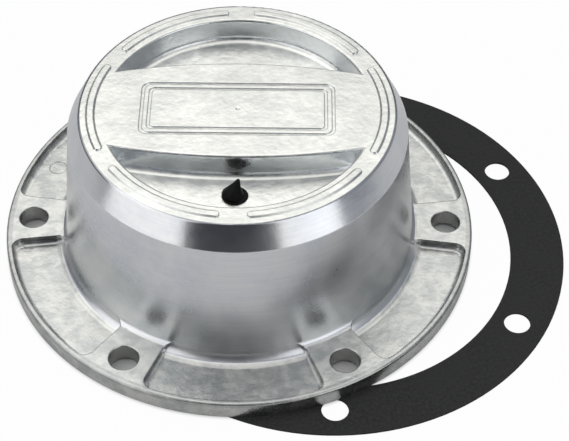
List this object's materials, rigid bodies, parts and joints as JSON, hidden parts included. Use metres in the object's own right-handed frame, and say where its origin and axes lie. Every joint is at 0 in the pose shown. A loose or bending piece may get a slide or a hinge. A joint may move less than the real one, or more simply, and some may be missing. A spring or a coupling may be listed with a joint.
{
  "type": "axle hub cap",
  "caption": "Cast axle hub cap: a pocketed bolt flange, a tapered cup with two wells and a bar across its nose, a rubber vent plug and a flat gasket pushed aside below.",
  "frame": {"origin": "centre of the flange's underside, on the cap's axis", "axes": "+Z along the axis, out through the nose; +X along the bar across the nose; the front well with the vent plug is at -Y"},
  "size_m": [0.1884, 0.1636, 0.0588],
  "materials": {
    "cast_aluminium": "pale as-cast faces, turned cup wall",
    "black_rubber": "satin black",
    "charcoal_gasket": "flat charcoal"
  },
  "bodies": {
    "root": {"hub_cap": "cast_aluminium", "vent_plug": "black_rubber", "gasket": "charcoal_gasket"}
  },
  "joints": []
}
